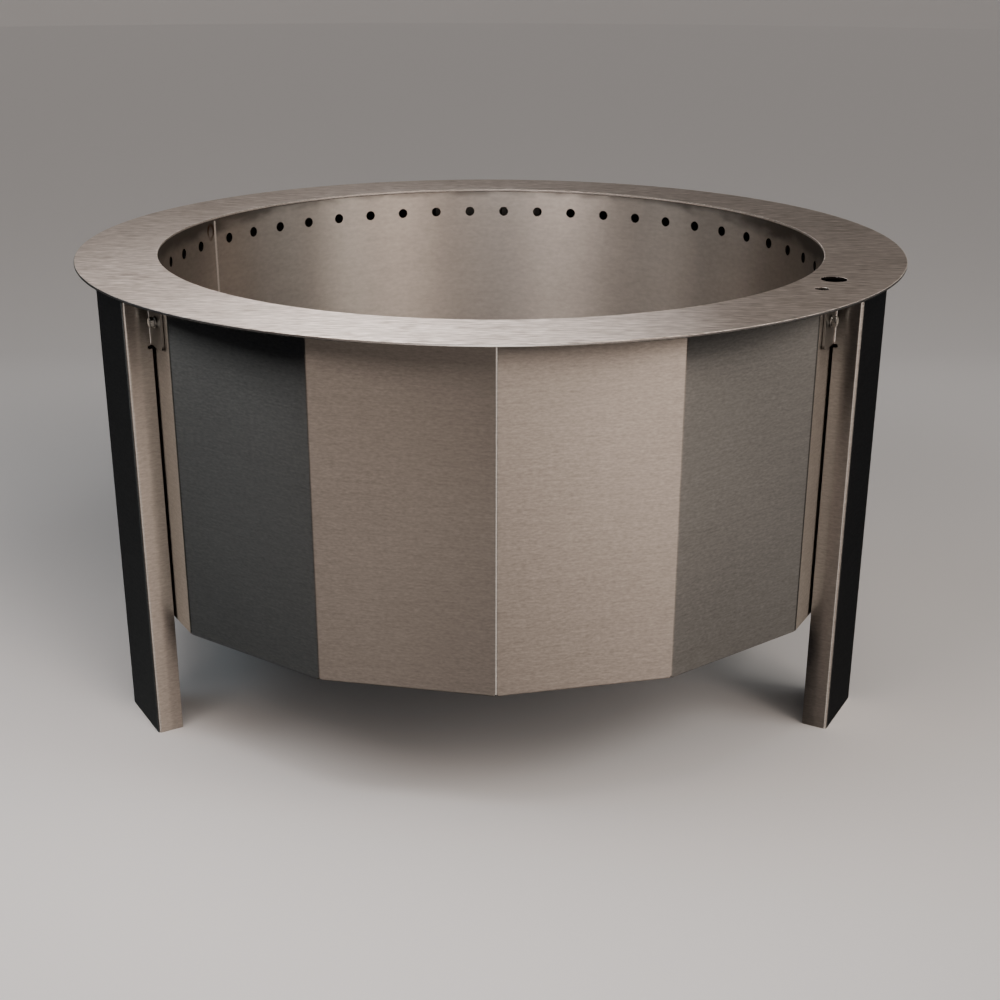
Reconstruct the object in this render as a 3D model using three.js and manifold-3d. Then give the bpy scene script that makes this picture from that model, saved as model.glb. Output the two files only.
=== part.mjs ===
// Smokeless fire pit: a round double-walled steel pit with a flat rim, a
// fifteen-sided outer wall, a round fire chamber and three folded channel legs.
// Millimetres, +Z up. The origin is on the ground under the centre of the pit.
import * as THREE from 'three';
import { mergeVertices } from 'three/addons/utils/BufferGeometryUtils.js';
import Module from 'manifold-3d';

// ---- driving dimensions ---------------------------------------------------
const TOP_Z = 498;              // top of the rim above the ground
const GAP = 0.3;                // clearance kept between neighbouring pieces

const RIM_R = 470;              // outer radius of the flat rim
const RIM_OPENING_R = 380.4;    // radius of the fire opening
const RIM_T = 3;                // rim plate
const POST_HOLE = { r: 13.5, radius: 410.2, azimuth: 59.5 };
const PIN_HOLE = { r: 7.1, radius: 416.5, azimuth: 52.74 };

const DRUM_R = 381.6;           // inside radius of the fire chamber
const DRUM_T = 2;
const DRUM_BOTTOM_Z = 150;
const AIR_HOLES = 50;           // upper ring of air holes
const AIR_HOLE_R = 6;
const AIR_HOLE_Z = TOP_Z - 30.8;
const AIR_HOLE_FIRST = -61.09;  // degrees from +Y towards +X
const AIR_HOLE_STEP = 7.15;
const LOW_HOLE_R = 8;           // lower ring, under the grate
const LOW_HOLE_Z = 190;

const SIDES = 15;               // flat facets of the outer wall
const WALL_APOTHEM = 425;       // centre line of the pit to the outside of a facet
const WALL_T = 1.5;
const WALL_BOTTOM_Z = 133;
const HEM = 12;                 // return flange at the bottom edge
const SEAM_HALF_GAP = 0.75;     // the sheets stop short of each other behind a leg

const LEG_AZIMUTHS = { leg_left: -60, leg_right: 60, leg_rear: 180 };
const LEG_HALF_W = 44;
const LEG_FACE = 455;           // centre line of the pit to the leg's outer face
const LEG_T = 2.5;
const LEG_STANDOFF = 2;         // flange edge to the facet, below the ears
const EAR_T = 78;               // half the span over the ears
const EAR_BOTTOM_Z = TOP_Z - 57.5;
const BOLT_T = 61;              // leg bolt, across from the leg's middle
const BOLT_Z = TOP_Z - 30;

const BOLT_R = 3;               // six-millimetre fasteners throughout
const HEX_AF = 10;
const HEAD_H = 4;
const NUT_H = 5.2;
const WASHER_R = 6.2;
const WASHER_T = 1.6;

const FLOOR_Z = 160;            // underside of the chamber floor
const FLOOR_T = 3;
const GRATE_R = 350;
const GRATE_T = 3;
const GRATE_Z = 210;            // underside of the grate
const SLOT_W = 14;
const SLOT_L = 96;

const HANGERS = [36, 84, 156, -156, -84, -36];   // facets with a bracket and a spacer
const STUD_X = 405;             // centre line of the pit to a rim stud

const CIRCLE = 120;             // facets of a large circle

// ---- helpers --------------------------------------------------------------
const wasm = await Module();
wasm.setup();

const rad = (deg) => (deg * Math.PI) / 180;
const wallUnder = TOP_Z - RIM_T - GAP;     // top edge of everything under the rim

function solid(geometry) {
  let g = geometry.clone();
  g.deleteAttribute('normal');
  g.deleteAttribute('uv');
  g = mergeVertices(g, 1e-4);
  return new wasm.Manifold(new wasm.Mesh({
    numProp: 3,
    vertProperties: new Float32Array(g.attributes.position.array),
    triVerts: new Uint32Array(g.index.array),
  }));
}

function geometryOf(manifold) {
  const m = manifold.getMesh();
  const g = new THREE.BufferGeometry();
  g.setAttribute('position', new THREE.BufferAttribute(new Float32Array(m.vertProperties), 3));
  g.setIndex(new THREE.BufferAttribute(new Uint32Array(m.triVerts), 1));
  return g;
}

// A prism of the outline along one axis, between two values of that axis. The
// outline is in (x, y) for z, in (x, z) for y, and in (y, z) for x.
function prism(points, axis, from, to, holes = []) {
  const shape = new THREE.Shape(points.map(([a, b]) => new THREE.Vector2(a, b)));
  for (const hole of holes) {
    shape.holes.push(new THREE.Path(hole.map(([a, b]) => new THREE.Vector2(a, b))));
  }
  const g = new THREE.ExtrudeGeometry(shape, { depth: to - from, bevelEnabled: false });
  const X = new THREE.Vector3(1, 0, 0);
  const Y = new THREE.Vector3(0, 1, 0);
  const Z = new THREE.Vector3(0, 0, 1);
  const m = new THREE.Matrix4();
  if (axis === 'z') m.makeBasis(X, Y, Z).setPosition(0, 0, from);
  if (axis === 'y') m.makeBasis(X, Z, Y.clone().negate()).setPosition(0, to, 0);
  if (axis === 'x') m.makeBasis(Y, Z, X).setPosition(from, 0, 0);
  g.applyMatrix4(m);
  return g;
}

const box = (x0, x1, y0, y1, z0, z1) =>
  prism([[x0, y0], [x1, y0], [x1, y1], [x0, y1]], 'z', z0, z1);

function circle(cx, cy, r, n, turn = 0) {
  const pts = [];
  for (let i = 0; i < n; i += 1) {
    const a = rad(turn) + (2 * Math.PI * i) / n;
    pts.push([cx + r * Math.cos(a), cy + r * Math.sin(a)]);
  }
  return pts;
}

const hexagon = (cx, cy, turn) => circle(cx, cy, HEX_AF / Math.sqrt(3), 6, turn);

// Azimuths run from -Y towards +X. A piece drawn with x outwards, y along the
// facet and z up is turned on to its facet by this.
const facetTurn = (azimuth) => rad(azimuth - 90);

function turned(geometry, azimuth) {
  return geometry.clone().rotateZ(facetTurn(azimuth));
}

function at(radius, azimuth) {
  return [radius * Math.sin(rad(azimuth)), -radius * Math.cos(rad(azimuth))];
}

const firePit = new THREE.Group();
const looks = {
  brushed: { color: 0xa39c92, roughness: 0.38, metalness: 1 },
  rolled: { color: 0x8f887d, roughness: 0.3, metalness: 1 },
  fastener: { color: 0xb4b2ac, roughness: 0.35, metalness: 1 },
  grate: { color: 0x5a5652, roughness: 0.6, metalness: 1 },
};

function add(name, geometry, look, parent = firePit) {
  const g = geometry.clone();
  g.computeVertexNormals();
  const mesh = new THREE.Mesh(g, new THREE.MeshStandardMaterial(looks[look]));
  mesh.name = name;
  parent.add(mesh);
  return mesh;
}

// ---- rim ------------------------------------------------------------------
{
  const outer = circle(0, 0, RIM_R, CIRCLE);
  const opening = circle(0, 0, RIM_OPENING_R, CIRCLE);
  const holes = [POST_HOLE, PIN_HOLE].map((h) => {
    const [x, y] = at(h.radius, h.azimuth);
    return circle(x, y, h.r, h === POST_HOLE ? 28 : 20);
  });
  let rim = solid(prism(outer, 'z', TOP_Z - RIM_T, TOP_Z, [opening, ...holes]));
  // Threaded studs welded to the underside, which the outer wall hangs from.
  for (const azimuth of HANGERS) {
    const stud = prism(circle(STUD_X, 0, BOLT_R, 12), 'z', TOP_Z - 18, TOP_Z - RIM_T + 1);
    rim = rim.add(solid(turned(stud, azimuth)));
  }
  add('rim_ring', geometryOf(rim), 'brushed');
}

// ---- fire chamber ---------------------------------------------------------
// The drum is rolled from one sheet and butt-welded in the wide space between
// the last air hole and the first. Its facets are laid out so that each hole
// is in the middle of one.
{
  const angles = [];
  const half = AIR_HOLE_STEP / 4;
  for (let k = 0; k < AIR_HOLES; k += 1) {
    const a = AIR_HOLE_FIRST + AIR_HOLE_STEP * k;
    angles.push(a - half, a + half);
  }
  const last = angles[angles.length - 1];
  angles.push((last + AIR_HOLE_FIRST - half + 360) / 2);
  const ring = (r) => angles
    .map((a) => [r * Math.sin(rad(a)), r * Math.cos(rad(a))])
    .reverse();
  let drum = solid(prism(ring(DRUM_R + DRUM_T), 'z', DRUM_BOTTOM_Z, wallUnder, [ring(DRUM_R)]));
  const drill = (r, z, sides, angle) => {
    const tool = prism(circle(0, z, r, sides, 180 / sides), 'x', DRUM_R - 8, DRUM_R + DRUM_T + 8);
    // from +Y towards +X, so the turn is 90 degrees less the angle
    return solid(tool.rotateZ(rad(90 - angle)));
  };
  for (let k = 0; k < AIR_HOLES; k += 1) {
    const a = AIR_HOLE_FIRST + AIR_HOLE_STEP * k;
    drum = drum.subtract(drill(AIR_HOLE_R, AIR_HOLE_Z, 12, a));
    if (k % 2 === 0) drum = drum.subtract(drill(LOW_HOLE_R, LOW_HOLE_Z, 10, a));
  }
  add('inner_drum', geometryOf(drum), 'rolled');
}

add('chamber_floor',
  prism(circle(0, 0, DRUM_R - 0.5, CIRCLE), 'z', FLOOR_Z, FLOOR_Z + FLOOR_T, [circle(0, 0, 6, 16)]),
  'rolled');

// ---- loose fire grate -----------------------------------------------------
{
  const holes = [];
  const pitchY = 56;
  const pitchX = 124;
  for (let row = -5; row <= 5; row += 1) {
    const y = row * pitchY;
    const shift = row % 2 === 0 ? 0 : pitchX / 2;
    for (let col = -4; col <= 4; col += 1) {
      const x = col * pitchX + shift;
      if (row === 0 && col === 0) continue;
      const far = Math.hypot(Math.abs(x) + SLOT_L / 2, Math.abs(y) + SLOT_W / 2);
      if (far > GRATE_R - 22) continue;
      const a = SLOT_L / 2;
      const b = SLOT_W / 2;
      const c = b * 0.58;
      holes.push([[x - a + c, y - b], [x + a - c, y - b], [x + a, y - c], [x + a, y + c],
        [x + a - c, y + b], [x - a + c, y + b], [x - a, y + c], [x - a, y - c]]);
    }
  }
  holes.push(circle(0, 0, 17, 20));       // for a lifting hook
  add('fire_grate', prism(circle(0, 0, GRATE_R, 96), 'z', GRATE_Z, GRATE_Z + GRATE_T, holes), 'grate');

}

// The grate stands on a rolled ring with an arch cut from its lower edge at
// each quarter, so that air from the lower holes reaches the middle.
{
  const z0 = FLOOR_Z + FLOOR_T + GAP;
  const z1 = GRATE_Z - GAP;
  let ring = solid(prism(circle(0, 0, 290, 72), 'z', z0, z1, [circle(0, 0, 287, 72)]));
  const arch = [[-70, z0 - 5], [70, z0 - 5], [70, z0 + 20], [58, z0 + 32], [-58, z0 + 32], [-70, z0 + 20]];
  for (const azimuth of [0, 90, 180, 270]) {
    ring = ring.subtract(solid(turned(prism(arch, 'x', 250, 320), azimuth)));
  }
  add('grate_ring', geometryOf(ring), 'grate');
}

// ---- outer wall -----------------------------------------------------------
const cornerStep = 360 / SIDES;
const boltHole = (t) => solid(prism(circle(t, BOLT_Z, 3.6, 12), 'x', WALL_APOTHEM - 12, WALL_APOTHEM + 12));

// A band of the wall between two seams, in plan.
function wallPlan(fromAzimuth, toAzimuth, apothem) {
  const corner = apothem / Math.cos(rad(cornerStep / 2));
  const onFacet = (azimuth, t) => {
    const a = rad(azimuth);
    return [apothem * Math.sin(a) + t * Math.cos(a), -apothem * Math.cos(a) + t * Math.sin(a)];
  };
  const pts = [onFacet(fromAzimuth, SEAM_HALF_GAP)];
  for (let c = fromAzimuth + cornerStep / 2; c < toAzimuth; c += cornerStep) pts.push(at(corner, c));
  pts.push(onFacet(toAzimuth, -SEAM_HALF_GAP));
  return pts;
}

const band = (from, to, outer, inner) =>
  [...wallPlan(from, to, outer), ...wallPlan(from, to, inner).reverse()];

for (const [name, from] of [['outer_panel_front', -60], ['outer_panel_right', 60], ['outer_panel_left', 180]]) {
  const to = from + 120;
  let panel = solid(prism(band(from, to, WALL_APOTHEM, WALL_APOTHEM - WALL_T), 'z', WALL_BOTTOM_Z, wallUnder))
    .add(solid(prism(band(from, to, WALL_APOTHEM, WALL_APOTHEM - WALL_T - HEM), 'z',
      WALL_BOTTOM_Z, WALL_BOTTOM_Z + WALL_T)));
  for (const [azimuth, t] of [[from, BOLT_T], [to, -BOLT_T]]) {
    const tool = prism(circle(t, BOLT_Z, 3.6, 12), 'x', WALL_APOTHEM - 12, WALL_APOTHEM + 12);
    panel = panel.subtract(solid(turned(tool, azimuth)));
  }
  add(name, geometryOf(panel), 'brushed');
}

// Behind each seam a strip ties the two sheets, and its arms carry the nuts of
// the leg bolts. The space between the arms is free under the rim.
{
  const x1 = WALL_APOTHEM - WALL_T - GAP;
  const x0 = x1 - 1.8;
  const top = wallUnder - 2;
  const outline = [[-25, 137], [25, 137], [25, 355], [75, 390], [75, top], [20, top], [20, 400],
    [-20, 400], [-20, top], [-75, top], [-75, 390], [-25, 355]];
  let strip = solid(prism(outline, 'x', x0, x1));
  strip = strip.subtract(boltHole(BOLT_T)).subtract(boltHole(-BOLT_T));
  const g = geometryOf(strip);
  for (const [name, azimuth] of [['splice_left', -60], ['splice_right', 60], ['splice_rear', 180]]) {
    add(name, g, 'rolled').rotation.z = facetTurn(azimuth);
  }
}

// ---- legs -----------------------------------------------------------------
// A channel open towards the wall. At the top each flange carries an ear bent
// out flat on to the facet, and the outer face a tab bent in under the rim.
{
  const inner = WALL_APOTHEM + GAP;
  const edge = WALL_APOTHEM + LEG_STANDOFF;
  const top = wallUnder - 0.2;
  const flange = [[edge, 0], [LEG_FACE, 0], [LEG_FACE, top], [inner, top], [inner, EAR_BOTTOM_Z],
    [inner + 6.5, EAR_BOTTOM_Z], [inner + 6.5, EAR_BOTTOM_Z - 4], [edge, EAR_BOTTOM_Z - 4]];
  let leg = solid(box(LEG_FACE - LEG_T, LEG_FACE, -LEG_HALF_W, LEG_HALF_W, 0, top));
  leg = leg.add(solid(prism(flange, 'y', LEG_HALF_W - LEG_T, LEG_HALF_W)));
  leg = leg.add(solid(prism(flange, 'y', -LEG_HALF_W, -LEG_HALF_W + LEG_T)));
  leg = leg.add(solid(box(inner + 6, LEG_FACE, -LEG_HALF_W + 6, LEG_HALF_W - 6, top - LEG_T, top)));
  const r = 7;
  const ear = [[LEG_HALF_W - LEG_T, EAR_BOTTOM_Z], [EAR_T - r, EAR_BOTTOM_Z]];
  for (let i = 1; i < 5; i += 1) {
    const a = rad(-90 + (90 * i) / 5);
    ear.push([EAR_T - r + r * Math.cos(a), EAR_BOTTOM_Z + r + r * Math.sin(a)]);
  }
  ear.push([EAR_T, EAR_BOTTOM_Z + r], [EAR_T, top], [LEG_HALF_W - LEG_T, top]);
  const mirror = ear.map(([y, z]) => [-y, z]).reverse();
  leg = leg.add(solid(prism(ear, 'x', inner, inner + LEG_T)));
  leg = leg.add(solid(prism(mirror, 'x', inner, inner + LEG_T)));
  leg = leg.subtract(boltHole(BOLT_T)).subtract(boltHole(-BOLT_T));
  const g = geometryOf(leg);
  for (const [name, azimuth] of Object.entries(LEG_AZIMUTHS)) {
    add(name, g, 'brushed').rotation.z = facetTurn(azimuth);
  }

  // Bolt, washer and weld nut at each ear.
  const washer0 = inner + LEG_T + GAP;
  const head0 = washer0 + WASHER_T + GAP;
  const nut1 = WALL_APOTHEM - WALL_T - GAP - 1.8 - GAP;
  for (const [name, azimuth] of Object.entries(LEG_AZIMUTHS)) {
    for (const [number, t] of [[1, -BOLT_T], [2, BOLT_T]]) {
      const bolt = geometryOf(solid(prism(hexagon(t, BOLT_Z, 30), 'x', head0, head0 + HEAD_H))
        .add(solid(prism(circle(t, BOLT_Z, BOLT_R, 12), 'x', nut1 - NUT_H - 5, head0 + 1))));
      const washer = prism(circle(t, BOLT_Z, WASHER_R, 16), 'x', washer0, washer0 + WASHER_T,
        [circle(t, BOLT_Z, 3.45, 12)]);
      const nut = prism(hexagon(t, BOLT_Z, 30), 'x', nut1 - NUT_H, nut1, [circle(t, BOLT_Z, 3.45, 12)]);
      add(`${name}_bolt_${number}`, bolt, 'fastener').rotation.z = facetTurn(azimuth);
      add(`${name}_washer_${number}`, washer, 'fastener').rotation.z = facetTurn(azimuth);
      add(`${name}_nut_${number}`, nut, 'fastener').rotation.z = facetTurn(azimuth);
    }
  }
}

// ---- between the walls ----------------------------------------------------
// Two facets of each sheet have an angle bracket at the top, held to a rim
// stud by a nut, and a folded spacer at the bottom that keeps the walls apart.
{
  const x1 = WALL_APOTHEM - WALL_T - GAP;
  const t = 1.6;
  const z1 = wallUnder - 0.1;
  const bracket = geometryOf(
    solid(prism([[395, z1 - t], [x1 - t, z1 - t], [x1 - t, 470], [x1, 470], [x1, z1], [395, z1]], 'y', -15, 15))
      .subtract(solid(prism(circle(STUD_X, 0, 3.6, 12), 'z', z1 - 8, z1 + 8))),
  );
  const nut = prism(hexagon(STUD_X, 0, 0), 'z', z1 - t - GAP - NUT_H, z1 - t - GAP,
    [circle(STUD_X, 0, 3.45, 12)]);
  const x0 = DRUM_R + DRUM_T + 0.5;
  const z0 = DRUM_BOTTOM_Z + 2;
  const spacer = prism([[x0, z0], [x1, z0], [x1, z0 + 24], [x1 - t, z0 + 24], [x1 - t, z0 + t],
    [x0 + t, z0 + t], [x0 + t, z0 + 30], [x0, z0 + 30]], 'y', -11, 11);
  HANGERS.forEach((azimuth, i) => {
    add(`rim_bracket_${i + 1}`, bracket, 'rolled').rotation.z = facetTurn(azimuth);
    add(`rim_nut_${i + 1}`, nut, 'fastener').rotation.z = facetTurn(azimuth);
    add(`wall_spacer_${i + 1}`, spacer, 'rolled').rotation.z = facetTurn(azimuth);
  });
}

// ---- guide and stop for an accessory's post -------------------------------
{
  const t = POST_HOLE.radius * Math.sin(rad(POST_HOLE.azimuth - 60));
  const x = POST_HOLE.radius * Math.cos(rad(POST_HOLE.azimuth - 60));
  const x0 = DRUM_R + DRUM_T + 1.4;
  const x1 = 420.5;
  const side = [[x0, 404], [x1, 404], [x1, 406], [x0 + 2, 406], [x0 + 2, 440], [x1, 440], [x1, 442], [x0, 442]];
  let bracket = solid(prism(side, 'y', t - 21, t + 21));
  const fork = [];
  for (let i = 0; i <= 10; i += 1) {
    const a = rad(90 + 18 * i);
    fork.push([x + 13.4 * Math.cos(a), t + 13.4 * Math.sin(a)]);
  }
  fork.push([x1 + 5, t - 13.4], [x1 + 5, t + 13.4]);
  bracket = bracket.subtract(solid(prism(fork, 'z', 430, 450)))
    .subtract(solid(prism(circle(x, t, 4, 12), 'z', 400, 410)));
  add('post_bracket', geometryOf(bracket), 'rolled').rotation.z = facetTurn(60);

  // A short folded tab under the small hole, for the end of a locating pin.
  const pinT = PIN_HOLE.radius * Math.sin(rad(PIN_HOLE.azimuth - 60));
  const shelf = TOP_Z - 12;
  const tab = prism([[x0 + 0.6, shelf - 2], [419.5, shelf - 2], [419.5, shelf], [x0 + 2.6, shelf],
    [x0 + 2.6, shelf + 7], [x0 + 0.6, shelf + 7]], 'y', pinT - 12, pinT + 12);
  add('pin_tab', tab, 'rolled').rotation.z = facetTurn(60);
}

export default firePit;
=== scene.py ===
import math

import bpy
import numpy as np
from mathutils import Matrix, Vector
from mathutils.geometry import delaunay_2d_cdt


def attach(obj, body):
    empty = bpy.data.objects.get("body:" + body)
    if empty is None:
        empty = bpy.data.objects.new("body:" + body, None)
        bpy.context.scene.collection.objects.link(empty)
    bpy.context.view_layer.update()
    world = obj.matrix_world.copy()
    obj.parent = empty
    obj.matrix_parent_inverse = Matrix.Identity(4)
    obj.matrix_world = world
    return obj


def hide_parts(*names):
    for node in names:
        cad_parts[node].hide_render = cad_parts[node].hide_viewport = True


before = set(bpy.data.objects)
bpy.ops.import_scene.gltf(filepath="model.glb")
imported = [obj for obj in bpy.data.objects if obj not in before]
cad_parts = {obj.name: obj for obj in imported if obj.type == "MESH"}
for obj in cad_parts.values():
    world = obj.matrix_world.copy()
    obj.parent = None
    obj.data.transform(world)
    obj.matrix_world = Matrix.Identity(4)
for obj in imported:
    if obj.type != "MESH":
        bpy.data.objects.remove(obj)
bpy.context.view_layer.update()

# ---------------------------------------------------------------------------
# Sizes in millimetres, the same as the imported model's.
# ---------------------------------------------------------------------------
TOP = 498.0
RIM_T = 3.0
RIM_R, OPENING_R = 470.0, 380.4
POST_R, POST_RADIUS, POST_AZ = 13.5, 410.2, 59.5
PIN_R, PIN_RADIUS, PIN_AZ = 7.1, 416.5, 52.74
UNDER = 494.7                      # top edge of what stands under the rim
DRUM_R, DRUM_T, DRUM_Z = 381.6, 2.0, 150.0
HOLES, HOLE_R, HOLE_Z = 50, 6.0, 467.2
HOLE_FIRST, HOLE_STEP = -61.09, 7.15
LOW_R, LOW_Z = 8.0, 190.0
APOTHEM, WALL_T, WALL_Z = 425.0, 1.5, 133.0
HEM_IN = 411.5
SEAM = 0.75
FACE, LEG_T, HALF_W = 455.0, 2.5, 44.0
EAR_N, EAR_T, EAR_Z, LEG_TOP = 427.8, 78.0, 440.5, 494.5
BOLT_T, BOLT_Z = 61.0, 468.0
HANGERS = [36, 84, 156, -156, -84, -36]
STUD_N = 405.0
LEGS = {"left": -60, "right": 60, "rear": 180}


def rad(deg):
    return deg * math.pi / 180


# ---------------------------------------------------------------------------
# Camera, at the photograph's viewing angle.
# ---------------------------------------------------------------------------
def make_camera():
    pitch, yaw, roll, turn = 0.36010, 0.0063, 0.0028, rad(0.65)
    fw = Vector((math.sin(yaw) * math.cos(pitch), math.cos(yaw) * math.cos(pitch), -math.sin(pitch)))
    right = Vector((math.cos(yaw), -math.sin(yaw), 0))
    up = right.cross(fw)
    r = math.cos(roll) * right + math.sin(roll) * up
    u = -math.sin(roll) * right + math.cos(roll) * up
    spin = Matrix(((math.cos(turn), math.sin(turn), 0), (-math.sin(turn), math.cos(turn), 0), (0, 0, 1)))
    place = spin @ Vector((0, -1.74328, 0.33422)) + Vector((0, 0, 0.498))
    r, u, b = spin @ r, spin @ u, -(spin @ fw)
    m = Matrix(((r.x, u.x, b.x, place.x), (r.y, u.y, b.y, place.y), (r.z, u.z, b.z, place.z), (0, 0, 0, 1)))
    data = bpy.data.cameras.new("camera")
    data.sensor_width = 36
    data.sensor_fit = "AUTO"
    data.lens = 1502.13 / 1000 * 36
    data.clip_start, data.clip_end = 0.05, 60
    cam = bpy.data.objects.new("camera", data)
    bpy.context.scene.collection.objects.link(cam)
    cam.matrix_world = m
    bpy.context.scene.camera = cam
    return cam


make_camera()


# ---------------------------------------------------------------------------
# Mesh building
# ---------------------------------------------------------------------------
class Shape:
    """Faces with a normal and a grain coordinate at each corner."""

    def __init__(self):
        self.verts, self.faces, self.normals, self.uvs, self.mats = [], [], [], [], []
        self.count = 0

    def add(self, verts, faces, normals, uvs, mat):
        """faces hold indices into verts; normals and uvs hold one entry for each corner of each face."""
        self.verts.append(np.asarray(verts, float))
        self.faces += [tuple(int(i) + self.count for i in f) for f in faces]
        self.normals += [tuple(n) for f in normals for n in f]
        self.uvs += [tuple(p) for f in uvs for p in f]
        self.mats += [mat] * len(faces)
        self.count += len(verts)

    def make(self, name, materials):
        verts = np.concatenate(self.verts)
        key = np.round(verts * 2000).astype(np.int64)
        _, first, back = np.unique(key, axis=0, return_index=True, return_inverse=True)
        back = back.ravel()
        faces, normals, uvs, mats, at = [], [], [], [], 0
        for f, m in zip(self.faces, self.mats):
            g = [int(back[i]) for i in f]
            keep = [k for k in range(len(g)) if g[k] != g[k - 1]]
            if len(keep) >= 3 and len(set(g)) == len(keep):
                faces.append([g[k] for k in keep])
                normals += [self.normals[at + k] for k in keep]
                uvs += [self.uvs[at + k] for k in keep]
                mats.append(m)
            at += len(f)
        me = bpy.data.meshes.new(name)
        me.from_pydata((verts[first] * 0.001).tolist(), [], faces, shade_flat=False)
        me.polygons.foreach_set("material_index", mats)
        layer = me.uv_layers.new(name="grain")
        layer.uv.foreach_set("vector", (np.array(uvs) * 0.001).astype(np.float32).ravel())
        for m in materials:
            me.materials.append(m)
        me.normals_split_custom_set(normals)
        me.update()
        ob = bpy.data.objects.new(name, me)
        bpy.context.scene.collection.objects.link(ob)
        return ob


def circle(cx, cy, r, n, clockwise=False, turn=0.0):
    a = turn + np.arange(n) * 2 * math.pi / n
    if clockwise:
        a = -a
    return np.stack([cx + r * np.cos(a), cy + r * np.sin(a)], 1)


def arc(cx, cy, r, a0, a1, n):
    a = np.radians(np.linspace(a0, a1, n + 1))
    return [(cx + r * math.cos(x), cy + r * math.sin(x)) for x in a]


def unit(v):
    v = np.asarray(v, float)
    return v / np.maximum(np.linalg.norm(v, axis=-1, keepdims=True), 1e-12)


def miters(loop):
    """For each point of a closed loop with material on its left: the outward vector that offsets both its edges by one, and each edge's own outward normal."""
    d = unit(np.roll(loop, -1, 0) - loop)
    out = np.stack([d[:, 1], -d[:, 0]], 1)            # right-hand side of the edge i, i+1
    before = np.roll(out, 1, 0)
    m = (out + before) / np.maximum(1 + (out * before).sum(1, keepdims=True), 0.3)
    return m, out


def inside(points, loops):
    """Even-odd test of points in a set of closed loops."""
    odd = np.zeros(len(points), bool)
    x, y = points[:, 0], points[:, 1]
    for loop in loops:
        a, b = loop, np.roll(loop, -1, 0)
        for k in range(0, len(a), 400):
            ax, ay, bx, by = a[k:k + 400, 0], a[k:k + 400, 1], b[k:k + 400, 0], b[k:k + 400, 1]
            hit = (ay[None] > y[:, None]) != (by[None] > y[:, None])
            dy = np.where(by == ay, 1e-30, by - ay)
            cross = ax[None] + (y[:, None] - ay[None]) / dy[None] * (bx - ax)[None]
            odd ^= (hit & (x[:, None] < cross)).sum(1) % 2 == 1
    return odd


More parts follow.
